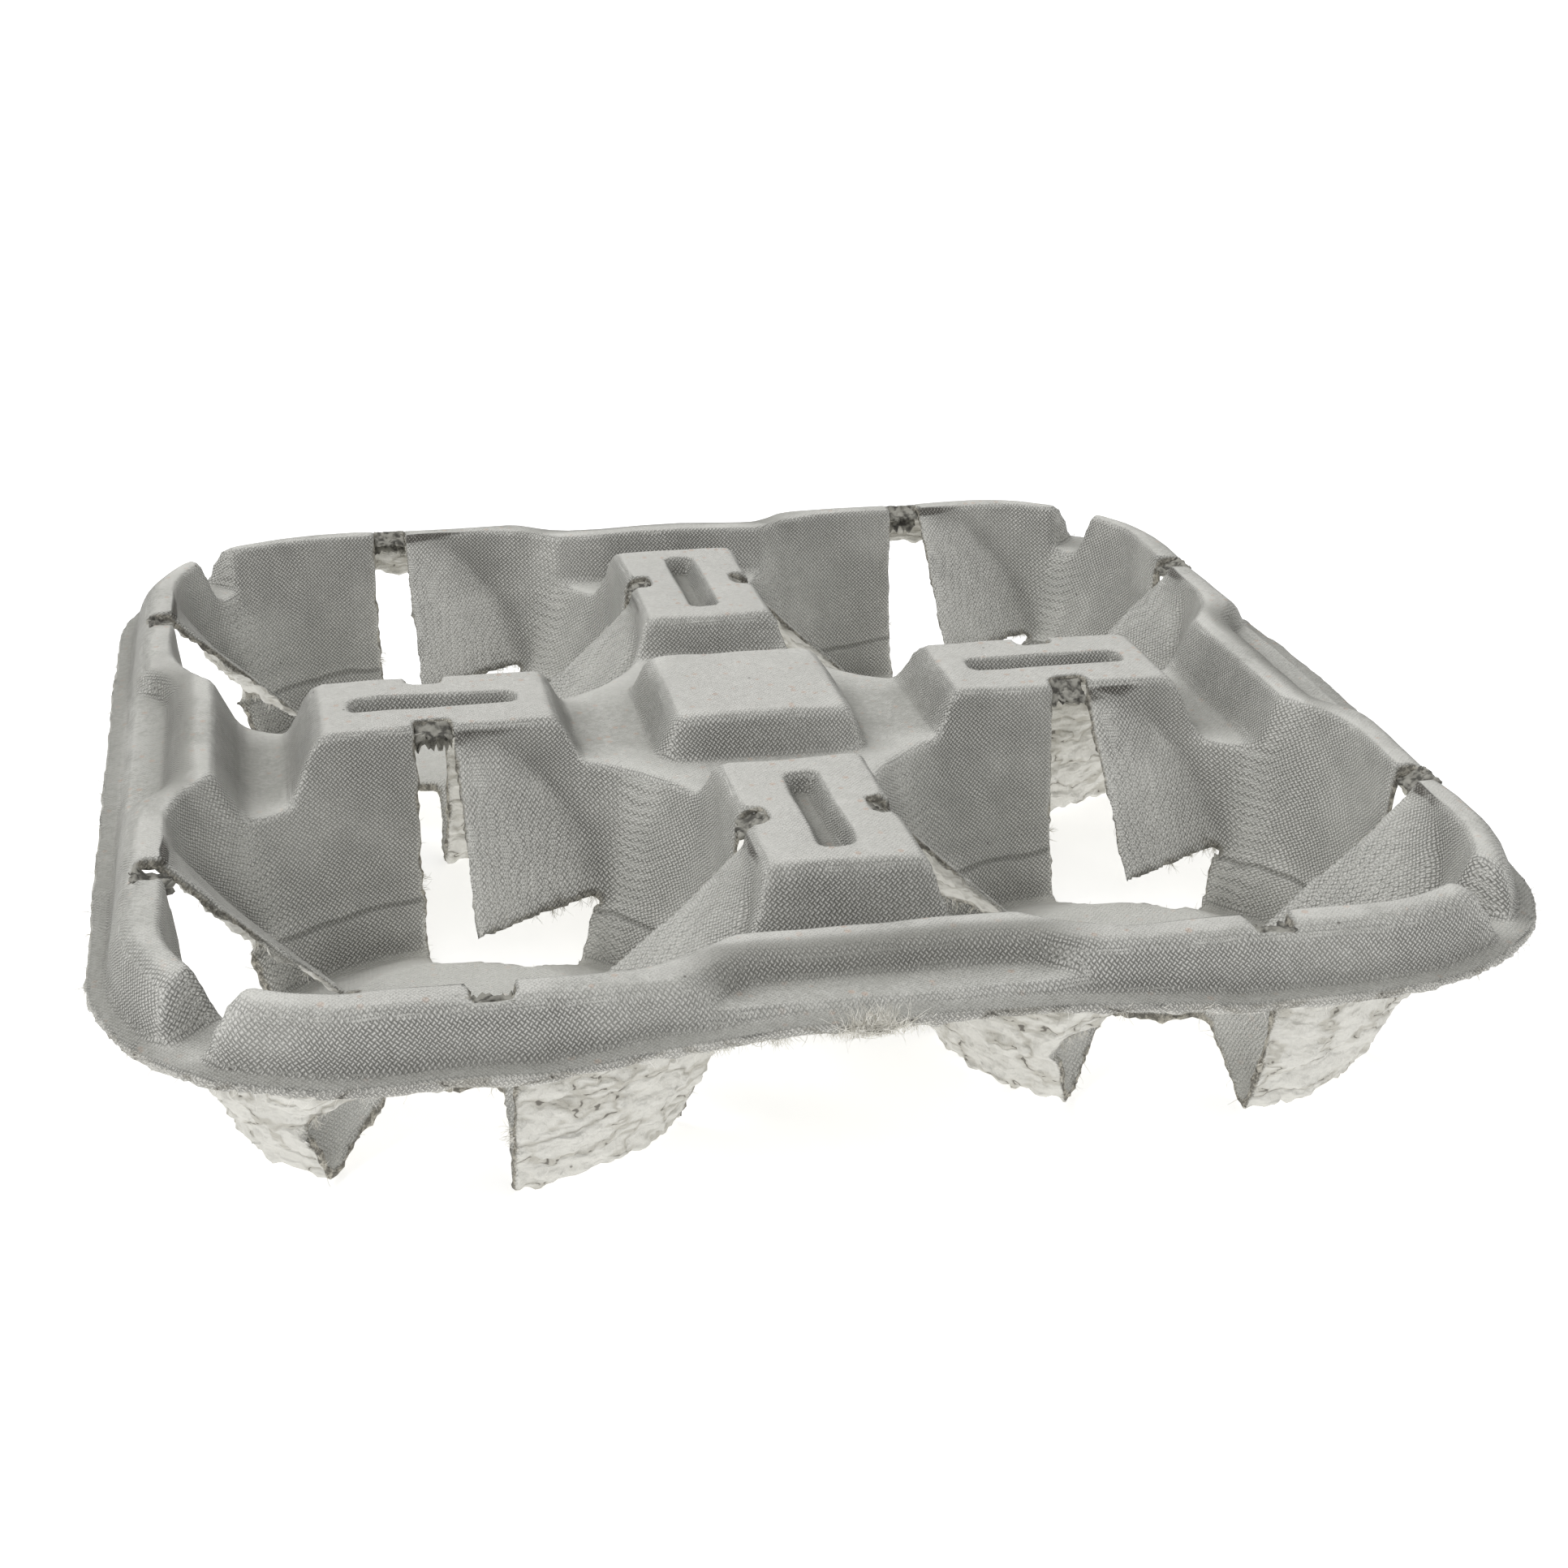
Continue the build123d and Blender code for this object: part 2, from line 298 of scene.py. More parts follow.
@dataclass(frozen=True)
class PulpFinish:
    """Grey moulded pulp: woven upper face, cream crinkled under face, torn edges, with light and shade
    painted into its colour.
    """

    name: str = "moulded_pulp"
    roughness: float = 0.93
    specular: float = 0.18

    upper_pale: Colour = (0.62, 0.617, 0.58, 1.0)
    upper_dark: Colour = (0.50, 0.497, 0.463, 1.0)
    # Pale colour painted as light on the high tops that face up and on the weave's threads.
    highlight_colour: Colour = (0.76, 0.75, 0.71, 1.0)
    # Pale colour painted as light on the walls inside the wells.
    painted_well_light: Colour = (0.80, 0.795, 0.75, 1.0)
    # Dark colour painted as shade: in the weave's pits, the crease, the lip's land, the coves and the
    # waist.
    shade_colour: Colour = (0.22, 0.217, 0.195, 1.0)
    under_pale: Colour = (0.66, 0.65, 0.605, 1.0)
    # Colour painted as shade in the valleys of the under face's crinkle.
    under_crinkle_shade: Colour = (0.50, 0.485, 0.435, 1.0)
    edge_pale: Colour = (0.50, 0.475, 0.41, 1.0)
    edge_dark: Colour = (0.20, 0.19, 0.165, 1.0)
    # Dark colour painted as shade in the flaps' cracks and folds and in the under face's cracks.
    crack_shade_colour: Colour = (0.13, 0.12, 0.105, 1.0)
    # Dark colour painted as shade in the narrow inward folds.
    fold_shade_colour: Colour = (0.33, 0.305, 0.265, 1.0)
    speck_colour: Colour = (0.14, 0.13, 0.12, 1.0)
    warm_colour: Colour = (0.62, 0.46, 0.37, 1.0)

    swirl: Noise = Noise(150.0, 1.0)
    swirl_reach: float = 1.3 * MM
    broad: Noise = Noise(55.0)
    mottle: Noise = Noise(420.0, 2.0, 0.6)
    grain: Noise = Noise(1300.0, 2.0, 0.6)
    layer: Noise = Noise(950.0, 2.0, 0.7)
    swell: Noise = Noise(95.0, 3.0, 0.55)
    swell_stretch: Place = (0.8, 0.8, 1.7)
    swell_middle: float = 0.5
    warm_specks: Specks = Specks(620.0, 0.40, 0.18)
    dark_specks: Specks = Specks(210.0, 0.06, 0.2)

    thread_pitch: float = 0.53 * MM
    thread_over: Span = Span(-0.25, 0.25)
    thread_side: float = 6.0
    weave_gain: float = 2.0
    weave_base: float = -1.2
    weave_slope: Span = Span(0.70, 0.99, 1.0, 0.22)
    weave_patch: Span = Span(0.3, 0.65, 0.6, 1.0)
    # Painted shade in the weave's pits and a painted highlight on its threads.
    weave_pit_shade: Span = Span(-0.9, -0.05, 0.78, 0.0)
    weave_ridge_highlight: Span = Span(0.05, 0.75, 0.0, 0.45)
    # The pressed line round each well is painted with shade.
    crease_level: float = 10.3 * MM
    crease_wander: float = 2.5 * MM
    crease_line: Span = Span(0.12 * MM, 0.6 * MM, 1.0, 0.0)
    crease_shade_share: float = 0.5

    broad_share: float = 0.25
    mottle_share: float = 0.25
    grain_share: float = 0.5
    tone_span: Span = Span(0.40, 0.60)
    level_span: Span = Span(0.80, 0.97)
    # The high tops that face up are painted paler, as painted light.
    top_level: float = 37.2 * MM
    top_fade: float = 0.5 * MM
    top_light_share: float = 0.5
    warm_share: float = 0.5
    fold_span: Span = Span(0.3, 1.0)
    fold_patch: Span = Span(0.3, 0.6, 0.15, 0.45)
    well_light_share: float = 0.55
    land_shade_share: float = 0.45
    cove_shade_share: float = 0.7
    split_span: Span = Span(0.1, 0.5, 0.0, 0.95)
    split_patch: Span = Span(0.25, 0.5, 0.4, 1.0)
    crinkle_span: Span = Span(0.0, 0.05)
    crack_span: Span = Span(0.003, 0.010, 1.0, 0.0)
    crack_patch: Span = Span(0.54, 0.59)
    crack_steep: Span = Span(0.45, 0.75, 0.85, 0.15)
    layer_span: Span = Span(0.40, 0.64)
    lip_span: Span = Span(0.25, 0.7)
    edge_span: Span = Span(0.15, 0.6)
    hem_span: Span = Span(0.02, 0.07, 0.0, 0.75)
    speck_share: float = 0.75

    weave_depth: float = 0.32 * MM
    crease_depth: float = 0.5 * MM
    split_depth: float = 0.7 * MM
    grain_depth: float = 0.30 * MM
    mottle_depth: float = 0.16 * MM
    crinkle_depth: float = 5.0 * MM
    layer_depth: float = 0.5 * MM

    def build(self) -> bpy.types.Material:
        """Makes the material.

        Returns:
            The material.
        """
        material, nodes, shader = MatteBase(self.name, self.roughness, self.specular).build()
        patterns = self._patterns(nodes)
        nodes.feed(shader.inputs["Base Color"], self._colour(nodes, patterns))
        nodes.feed(shader.inputs["Normal"], self._relief(nodes, patterns))
        return material

    def _patterns(self, nodes: NodeBuilder) -> PulpPatterns:
        """Lays out the patterns of the pulp.

        Args:
            nodes: The material's node builder.

        Returns:
            Their sockets.
        """
        coordinates = nodes.add("ShaderNodeTexCoord")
        place = coordinates.outputs["Object"]
        facing = nodes.split(coordinates.outputs["Normal"])
        bend = nodes.clouds(place, self.swirl).outputs["Color"]
        spot = nodes.split(nodes.scaled(bend, 3 * (self.swirl_reach,), place))
        under = nodes.mark(SheetMark.UNDER)
        edge = nodes.mark(SheetMark.EDGE)
        broad = nodes.noise(place, self.broad)
        swell = nodes.noise(nodes.scaled(place, self.swell_stretch), self.swell)
        clear = nodes.math("SUBTRACT", 1.0, nodes.larger(under, edge), clamp=True)
        uneven = nodes.times(nodes.ramp(facing[2], self.weave_slope), nodes.ramp(broad, self.weave_patch))
        return PulpPatterns(
            place=place,
            spot=spot,
            facing=facing,
            level=nodes.ramp(facing[2], self.level_span),
            under=under,
            edge=edge,
            lip=nodes.mark(SheetMark.LIP),
            split=nodes.ramp(nodes.mark(SheetMark.CRACK), self.split_span),
            broad=broad,
            mottle=nodes.noise(place, self.mottle),
            grain=nodes.noise(place, self.grain),
            crumple=nodes.math("ABSOLUTE", nodes.math("SUBTRACT", swell, self.swell_middle)),
            layer=nodes.noise(place, self.layer),
            weave=nodes.times(self._weave(nodes, spot, facing), nodes.times(clear, uneven)),
            crease=nodes.times(self._crease(nodes, spot[2], broad), clear),
        )

    def _weave(self, nodes: NodeBuilder, spot: tuple[Socket, ...], facing: tuple[Socket, ...]) -> Socket:
        """The moulding screen's weave, laid on each slope from the side that the slope faces most.

        Args:
            nodes: The material's node builder.
            spot: The three coordinate sockets.
            facing: The three sockets of the surface's direction.

        Returns:
            A height socket, about -1 between the threads and 1 on them.
        """
        turn = math.pi / (math.sqrt(2) * self.thread_pitch)
        height: Input = 0.0
        total: Input = 0.0
        for side in range(3):
            first = spot[(side + 1) % 3]
            second = spot[(side + 2) % 3]
            rising = nodes.math("SINE", nodes.times(nodes.math("ADD", first, second), turn))
            falling = nodes.math("SINE", nodes.times(nodes.math("SUBTRACT", first, second), turn))
            over = nodes.ramp(nodes.times(rising, falling), self.thread_over)
            warp = nodes.math("ABSOLUTE", rising)
            weft = nodes.math("ABSOLUTE", falling)
            thread = nodes.plus(weft, nodes.math("SUBTRACT", warp, weft), over)
            weight = nodes.math("POWER", nodes.math("ABSOLUTE", facing[side]), self.thread_side)
            height = nodes.plus(height, thread, weight)
            total = nodes.math("ADD", weight, total)
        return nodes.plus(self.weave_base, nodes.math("DIVIDE", height, total), self.weave_gain)

    def _crease(self, nodes: NodeBuilder, rise: Socket, wander: Socket) -> Socket:
        """The pressed line round each well, above its foot.

        Args:
            nodes: The material's node builder.
            rise: The height socket.
            wander: A noise socket that bends the line.

        Returns:
            A mask socket, 1 in the line.
        """
        bent = nodes.plus(rise, wander, self.crease_wander)
        middle = self.crease_level + 0.5 * self.crease_wander
        gap = nodes.math("ABSOLUTE", nodes.math("SUBTRACT", bent, middle))
        return nodes.ramp(gap, self.crease_line)

    def _upper(self, nodes: NodeBuilder, patterns: PulpPatterns) -> Socket:
        """Colours the woven upper face, with light and shade painted into it.

        Args:
            nodes: The material's node builder.
            patterns: The pulp's patterns.

        Returns:
            The colour socket.
        """
        tone = nodes.times(patterns.mottle, self.mottle_share)
        tone = nodes.plus(tone, patterns.broad, self.broad_share)
        tone = nodes.plus(tone, patterns.grain, self.grain_share)
        colour = nodes.mix(nodes.ramp(tone, self.tone_span), self.upper_dark, self.upper_pale)
        # Painted light: the high tops that face up are painted paler.
        top_light_span = Span(self.top_level - self.top_fade, self.top_level, 0.0, self.top_light_share)
        top = nodes.times(patterns.level, nodes.ramp(patterns.spot[2], top_light_span))
        colour = nodes.mix(top, colour, self.highlight_colour)
        warm = nodes.times(nodes.specks(patterns.place, self.warm_specks), self.warm_share)
        colour = nodes.mix(nodes.times(warm, patterns.level), colour, self.warm_colour)
        # Painted shade in the narrow inward folds, patchy by the mottle.
        fold_shade = nodes.ramp(nodes.mark(SheetMark.HOLLOW), self.fold_span)
        fold_shade = nodes.times(fold_shade, nodes.ramp(patterns.mottle, self.fold_patch))
        colour = nodes.mix(fold_shade, colour, self.fold_shade_colour)
        # Painted light in the wells, painted shade on the lip's land and in the coves.
        for mark, share, tint in (
            (SheetMark.WELL, self.well_light_share, self.painted_well_light),
            (SheetMark.LAND, self.land_shade_share, self.shade_colour),
            (SheetMark.COVE, self.cove_shade_share, self.shade_colour),
        ):
            colour = nodes.mix(nodes.times(nodes.mark(mark), share), colour, tint)
        # Painted shade: a dark line along the flaps' cracks and hinge folds.
        split = nodes.times(patterns.split, nodes.ramp(patterns.mottle, self.split_patch))
        colour = nodes.mix(split, colour, self.crack_shade_colour)
        # Painted shade darkens the weave's pits and a painted highlight lightens its threads.
        colour = nodes.mix(nodes.ramp(patterns.weave, self.weave_pit_shade), colour, self.shade_colour)
        colour = nodes.mix(nodes.ramp(patterns.weave, self.weave_ridge_highlight), colour, self.highlight_colour)
        # Painted shade along the pressed line round each well.
        return nodes.mix(nodes.times(patterns.crease, self.crease_shade_share), colour, self.shade_colour)

    def _below(self, nodes: NodeBuilder, patterns: PulpPatterns) -> Socket:
        """Colours the crinkled under face, with painted shade in the crinkle's valleys and in short cracks
        where it is steep.

        Args:
            nodes: The material's node builder.
            patterns: The pulp's patterns.

        Returns:
            The colour socket.
        """
        # Painted shade: the crinkle's valleys are darker, and darkest in short cracks where it is steep.
        ridge = nodes.ramp(patterns.crumple, self.crinkle_span)
        colour = nodes.mix(ridge, self.under_crinkle_shade, self.under_pale)
        crack = nodes.ramp(patterns.crumple, self.crack_span)
        crack = nodes.times(crack, nodes.ramp(patterns.mottle, self.crack_patch))
        steep = nodes.ramp(nodes.math("ABSOLUTE", patterns.facing[2]), self.crack_steep)
        return nodes.mix(nodes.times(crack, steep), colour, self.crack_shade_colour)

    def _colour(self, nodes: NodeBuilder, patterns: PulpPatterns) -> Socket:
        """Joins the colours of the faces, the torn edges and the specks.

        Args:
            nodes: The material's node builder.
            patterns: The pulp's patterns.

        Returns:
            The colour socket.
        """
        torn = nodes.mix(nodes.ramp(patterns.layer, self.layer_span), self.edge_dark, self.edge_pale)
        pale = nodes.larger(patterns.under, nodes.ramp(patterns.lip, self.lip_span))
        colour = nodes.mix(pale, self._upper(nodes, patterns), self._below(nodes, patterns))
        colour = nodes.mix(nodes.ramp(patterns.edge, self.edge_span), colour, torn)
        hem = nodes.times(patterns.mottle, nodes.mark(SheetMark.HEM))
        colour = nodes.mix(nodes.ramp(hem, self.hem_span), colour, torn)
        dark = nodes.times(nodes.specks(patterns.place, self.dark_specks), self.speck_share)
        return nodes.mix(dark, colour, self.speck_colour)

    def _relief(self, nodes: NodeBuilder, patterns: PulpPatterns) -> Socket:
        """Adds up the fine relief.

        Args:
            nodes: The material's node builder.
            patterns: The pulp's patterns.

        Returns:
            The socket of the surface's direction.
        """
        torn = nodes.larger(patterns.edge, patterns.lip)
        height: Input = 0.0
        for pattern, depth in (
            (patterns.weave, self.weave_depth),
            (patterns.crease, -self.crease_depth),
            (patterns.split, -self.split_depth),
            (patterns.grain, self.grain_depth),
            (patterns.mottle, self.mottle_depth),
            (nodes.times(patterns.crumple, patterns.under), self.crinkle_depth),
            (nodes.times(patterns.layer, torn), self.layer_depth),
        ):
            height = nodes.plus(height, pattern, depth)
        return nodes.add("ShaderNodeBump", {"Distance": 1.0, "Height": height}).outputs[0]


@dataclass(frozen=True)
class Crumple:
    """A noise that moves the sheet: the mark that limits it, its feature size and its depth.

    With no mark, it moves the whole sheet about.
    """

    name: str
    mark: SheetMark | None
    size: float
    depth: float

    def press(self, sheet: bpy.types.Object) -> None:
        """Roughens the sheet.

        Args:
            sheet: The sheet, with the mark as a vertex group.
        """
        texture = bpy.data.textures.new(self.name, "CLOUDS")
        texture.noise_scale = self.size
        displace = sheet.modifiers.new(self.name, "DISPLACE")
        displace.texture = texture
        displace.texture_coords = "LOCAL"
        displace.strength = self.depth
        displace.mid_level = 0.5
        if self.mark is None:
            texture.cloud_type = "COLOR"
            displace.direction = "RGB_TO_XYZ"
        else:
            texture.noise_type = "HARD_NOISE"
            displace.vertex_group = self.mark.value
        apply_modifier(sheet, displace)


@dataclass
class PulpSheet:
    """The carrier itself: one felted sheet with soft folds, a rough under face and torn edges."""

    node: bpy.types.Object
    merge_gap: float = 0.001 * MM
    voxel: float = 0.95 * MM
    soft_share: float = 0.5
    even_passes: int = 3
    fold_passes: int = 4
    triangle_limit: int = 192000

    upright_limit: float = 0.03
    downward_limit: float = -0.9
    tear_level: float = FLAP_LEVEL
    tear_reach: float = 0.4 * MM
    slot_reach: float = 45.4 * MM
    lip_half: float = 104.7 * MM
    lip_corner: float = 38.5 * MM
    lip_reach: float = 0.6 * MM
    hem_passes: int = 4
    body_fade: float = 2.0
    weight_floor: float = 0.02

    half_pitch: float = HALF_PITCH
    # The walls inside this are painted paler, as painted light.
    well_half: float = 42.5 * MM
    well_fade: float = 2.0 * MM
    # The lip's land, which is painted with shade.
    land_reach: float = 3.4 * MM
    land_fade: float = 1.0 * MM
    # The waist's steep slope, which is painted with shade.
    waist_half: float = 30.0 * MM
    waist_fade: float = 8.0 * MM
    waist_level: float = 32.6 * MM
    waist_near: float = 7.0 * MM
    waist_far: float = 14.0 * MM
    hollow_passes: int = 3
    hollow_cells: float = 0.35
    cove_passes: int = 40
    cove_cells: float = 1.3

    # The flaps' cracks and hinge folds, which are painted dark as shade.
    flap_width: float = 10.5 * MM
    flap_back: float = 36.0 * MM
    flap_front: float = 41.6 * MM
    crack_level: float = 35.3 * MM
    crack_climb: float = 1.2 * MM
    crack_width: float = 1.2 * MM
    hinge_width: float = 0.9 * MM
    hinge_low: float = 25.1 * MM
    hinge_depth: float = 0.32

    crumples: tuple[Crumple, ...] = (
        Crumple("sheet_warp", None, 26.0 * MM, 1.4 * MM),
        Crumple("under_crinkle", SheetMark.UNDER, 6.0 * MM, 2.4 * MM),
        Crumple("under_ridge", SheetMark.UNDER, 2.6 * MM, 1.1 * MM),
        Crumple("edge_tear", SheetMark.EDGE, 2.4 * MM, 1.3 * MM),
        Crumple("lip_tear", SheetMark.LIP, 5.0 * MM, 0.7 * MM),
    )

    def build(self, material: bpy.types.Material) -> bpy.types.Object:
        """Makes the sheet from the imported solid.

        Args:
            material: Its finish.

        Returns:
            The finished piece.
        """
        sheet = self._copy_solid()
        self._refine(sheet)
        self._mark(sheet)
        self._soften(sheet, self.fold_passes, SheetMark.BODY)
        for crumple in self.crumples:
            crumple.press(sheet)
        self._thin(sheet)
        dress(sheet, material)
        select_only(sheet)
        bpy.ops.object.shade_smooth()
        register(sheet)
        return sheet

    def _copy_solid(self) -> bpy.types.Object:
        """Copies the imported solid's mesh and merges its loose triangles.

        Returns:
            The copy.
        """
        sheet = bpy.data.objects.new("pulp_sheet", self.node.data.copy())
        bpy.context.scene.collection.objects.link(sheet)
        select_only(sheet)
        bpy.ops.object.mode_set(mode="EDIT")
        bpy.ops.mesh.select_all(action="SELECT")
        bpy.ops.mesh.remove_doubles(threshold=self.merge_gap)
        bpy.ops.object.mode_set(mode="OBJECT")
        return sheet

    def _refine(self, sheet: bpy.types.Object) -> None:
        """Remeshes the copy evenly and settles it on the solid.

        Args:
            sheet: The sheet.
        """
        remesh = sheet.modifiers.new("felt", "REMESH")
        remesh.mode = "VOXEL"
        remesh.voxel_size = self.voxel
        apply_modifier(sheet, remesh)
        settle = sheet.modifiers.new("settle", "SHRINKWRAP")
        settle.target = self.node
        apply_modifier(sheet, settle)
        self._soften(sheet, self.even_passes, None)

    def _soften(self, sheet: bpy.types.Object, passes: int, mark: SheetMark | None) -> None:
        """Rounds the sheet's folds.

        Args:
            sheet: The sheet.
            passes: How often the surface is smoothed.
            mark: The mark that limits it, or None for the whole sheet.
        """
        soften = sheet.modifiers.new("soft_folds", "SMOOTH")
        soften.factor = self.soft_share
        soften.iterations = passes
        if mark is not None:
            soften.vertex_group = mark.value
        apply_modifier(sheet, soften)

    def _mark(self, sheet: bpy.types.Object) -> None:
        """Keeps all the marks on the sheet's points, as attributes and as vertex groups.

        Args:
            sheet: The sheet.
        """
        mesh = sheet.data
        marks = self._face_marks(mesh) | self._tone_marks(mesh)
        torn = np.maximum(marks[SheetMark.EDGE], marks[SheetMark.LIP])
        marks[SheetMark.BODY] = np.clip(1.0 - self.body_fade * self._spread(mesh, torn), 0.0, 1.0)
        for mark, values in marks.items():
            smooth = values if mark is SheetMark.CRACK else self._spread(mesh, values)
            mesh.attributes.new(mark.value, "FLOAT", "POINT").data.foreach_set("value", smooth)
            group = sheet.vertex_groups.new(name=mark.value)
            for index in np.nonzero(smooth > self.weight_floor)[0]:
                group.add([int(index)], float(smooth[index]), "REPLACE")

    def _face_marks(self, mesh: bpy.types.Mesh) -> dict[SheetMark, np.ndarray]:
        """Marks the under face and the torn edges, by the nearest face of the solid.

        Args:
            mesh: The sheet's mesh.

        Returns:
            One value a point for each of these marks.
        """
        solid = self.node.data
        tree = BVHTree.FromPolygons([v.co for v in solid.vertices], [p.vertices[:] for p in solid.polygons])
        kinds = (SheetMark.UNDER, SheetMark.EDGE, SheetMark.LIP, SheetMark.HEM)
        marks = {kind: np.zeros(len(mesh.vertices)) for kind in kinds}
        for index, vertex in enumerate(mesh.vertices):
            spot, normal, _face, _gap = tree.find_nearest(vertex.co)
            upright = abs(normal.z) < self.upright_limit
            torn_below = normal.z < self.downward_limit and abs(spot.z - self.tear_level) < self.tear_reach
            if upright and self._lip_gap(spot) < self.lip_reach:
                marks[SheetMark.LIP][index] = 1.0
            elif torn_below or (upright and self._well_gap(spot) < self.slot_reach):
                marks[SheetMark.EDGE][index] = 1.0
                marks[SheetMark.HEM][index] = float(torn_below)
            elif normal.z < 0:
                marks[SheetMark.UNDER][index] = 1.0
        marks[SheetMark.HEM] = self._spread(mesh, marks[SheetMark.HEM], self.hem_passes)
        return marks

    def _tone_marks(self, mesh: bpy.types.Mesh) -> dict[SheetMark, np.ndarray]:
        """Marks the parts of the upper face where light and shade are painted: paler in the wells, darker
        on the lip's land, in the folds, on the waist and along the flaps' cracks.

        Args:
            mesh: The sheet's mesh.

        Returns:
            One value a point for each of these marks.
        """
        spots = np.array([vertex.co for vertex in mesh.vertices])
        local = spots[:, :2] - self.half_pitch * np.sign(spots[:, :2])
        inset = np.array([self._lip_gap(vertex.co) for vertex in mesh.vertices])
        # Painted light: paler inside the wells, fading out at their rims.
        well = (self.well_half - np.abs(local).max(axis=1)) / self.well_fade
        # Painted shade on the lip's land, fading inwards.
        land = (self.land_reach - inset) / self.land_fade
        # Painted shade on the waist's steep slope and in the broad inward folds.
        middle = (self.waist_half - np.abs(spots[:, :2]).min(axis=1)) / self.waist_fade
        waist_shade_band = (spots[:, 2] > self.waist_level) & (inset > self.waist_near) & (inset < self.waist_far)
        cove = self._hollows(mesh, self.cove_passes, self.cove_cells * self.voxel)
        return {
            SheetMark.HOLLOW: self._hollows(mesh, self.hollow_passes, self.hollow_cells * self.voxel),
            SheetMark.WELL: np.clip(well, 0.0, 1.0),
            SheetMark.LAND: np.clip(land, 0.0, 1.0),
            SheetMark.COVE: np.maximum(cove, np.clip(middle, 0.0, 1.0) * waist_shade_band),
            SheetMark.CRACK: self._flap_cracks(local, spots[:, 2]),
        }

    def _flap_cracks(self, local: np.ndarray, level: np.ndarray) -> np.ndarray:
        """Marks the lines along which each flap cracked and folded when it was bent in, which are dented
        and painted dark as shade.

        Args:
            local: Each point's place from the middle of its well.
            level: Each point's height.

        Returns:
            One value a point, 1 on a line.
        """
        line = np.zeros(len(level))
        for quarter in range(4):
            turn = quarter * math.pi / 2
            along = local @ np.array([math.cos(turn), math.sin(turn)])
            right = local @ np.array([math.sin(turn), -math.cos(turn)])
            rise = self.crack_level + self.crack_climb * right / self.flap_width
            near = np.clip(1.0 - np.abs(level - rise) / self.crack_width, 0.0, 1.0)
            wall = (along > self.flap_back) & (along < self.flap_front)
            line += near * (wall & (right > 0.0) & (right < self.flap_width))
            down = (self.crack_level - level) / (self.crack_level - self.tear_level)
            hinge = self.flap_width + (self.hinge_low - self.flap_width) * down
            fold_shade = np.clip(1.0 - np.abs(right - hinge) / self.hinge_width, 0.0, 1.0) * (1.0 - down)
            line += self.hinge_depth * fold_shade * ((along > self.hinge_low) & (down > 0.0) & (down < 1.0))
        return np.clip(line, 0.0, 1.0)

    def _well_gap(self, spot: Vector) -> float:
        """Measures how far a place is from the middle of its well, seen from above."""
        return math.hypot(abs(spot.x) - self.half_pitch, abs(spot.y) - self.half_pitch)

    def _lip_gap(self, spot: Vector) -> float:
        """Measures how far a place is inside the outline of the lip.

        Args:
            spot: The place.

        Returns:
            The distance to the outline, 0 at the edge of the lip.
        """
        straight = self.lip_half - self.lip_corner
        across = max(abs(spot.x) - straight, 0.0)
        along = max(abs(spot.y) - straight, 0.0)
        return self.lip_corner - math.hypot(across, along)

    @staticmethod
    def _spread(mesh: bpy.types.Mesh, values: np.ndarray, passes: int = 2) -> np.ndarray:
        """Blurs values over the mesh.

        Args:
            mesh: The mesh.
            values: One value a point.
            passes: How often each point takes half of its neighbours' mean.

        Returns:
            The blurred values.
        """
        pairs = np.empty(2 * len(mesh.edges), dtype=np.int64)
        mesh.edges.foreach_get("vertices", pairs)
        pairs = pairs.reshape(-1, 2)
        count = len(values)
        degree = np.bincount(pairs.ravel(), minlength=count)
        for _ in range(passes):
            total = np.bincount(pairs[:, 0], values[pairs[:, 1]], count)
            total += np.bincount(pairs[:, 1], values[pairs[:, 0]], count)
            values = 0.5 * values + 0.5 * total / np.maximum(degree, 1)
        return values

    def _hollows(self, mesh: bpy.types.Mesh, passes: int, full: float) -> np.ndarray:
        """Measures how far the surface folds inwards.

        Args:
            mesh: The mesh.
            passes: How widely it is compared with its surroundings.
            full: The depth that counts as a full fold.

        Returns:
            One value a point, 0 where it is flat or rounds outwards, 1 in a full inner fold.
        """
        places = np.array([vertex.co for vertex in mesh.vertices])
        normals = np.array([vertex.normal for vertex in mesh.vertices])
        middle = np.stack([self._spread(mesh, places[:, axis], passes) for axis in range(3)], axis=1)
        bend = np.einsum("ij,ij->i", middle - places, normals)
        return np.clip(bend / full, 0.0, 1.0)

    def _thin(self, sheet: bpy.types.Object) -> None:
        """Thins the mesh to its limit of triangles.

        Args:
            sheet: The sheet.
        """
        triangles = sum(len(face.vertices) - 2 for face in sheet.data.polygons)
        thin = sheet.modifiers.new("thin", "DECIMATE")
        thin.ratio = min(1.0, self.triangle_limit / triangles)
        thin.use_collapse_triangulate = True
        apply_modifier(sheet, thin)


@dataclass(frozen=True)
class FibreFinish:
    """Dull torn pulp that varies between two tones."""

    name: str
    pale: Colour
    dark: Colour
    roughness: float = 0.95
    specular: float = 0.15
    tone: Noise = Noise(700.0)
    tone_span: Span = Span(0.35, 0.6)

    def build(self) -> bpy.types.Material:
        """Makes the material.

        Returns:
            The material.
        """
        material, nodes, shader = MatteBase(self.name, self.roughness, self.specular).build()
        place = nodes.add("ShaderNodeTexCoord").outputs["Object"]
        tone = nodes.ramp(nodes.noise(place, self.tone), self.tone_span)
        nodes.feed(shader.inputs["Base Color"], nodes.mix(tone, self.dark, self.pale))
        return material


LOOSE_FIBRE = FibreFinish("loose_fibre", pale=(0.86, 0.845, 0.79, 1.0), dark=(0.55, 0.53, 0.47, 1.0))
FELTED_CURL = FibreFinish("felted_curl", pale=(0.36, 0.352, 0.315, 1.0), dark=(0.10, 0.097, 0.087, 1.0))


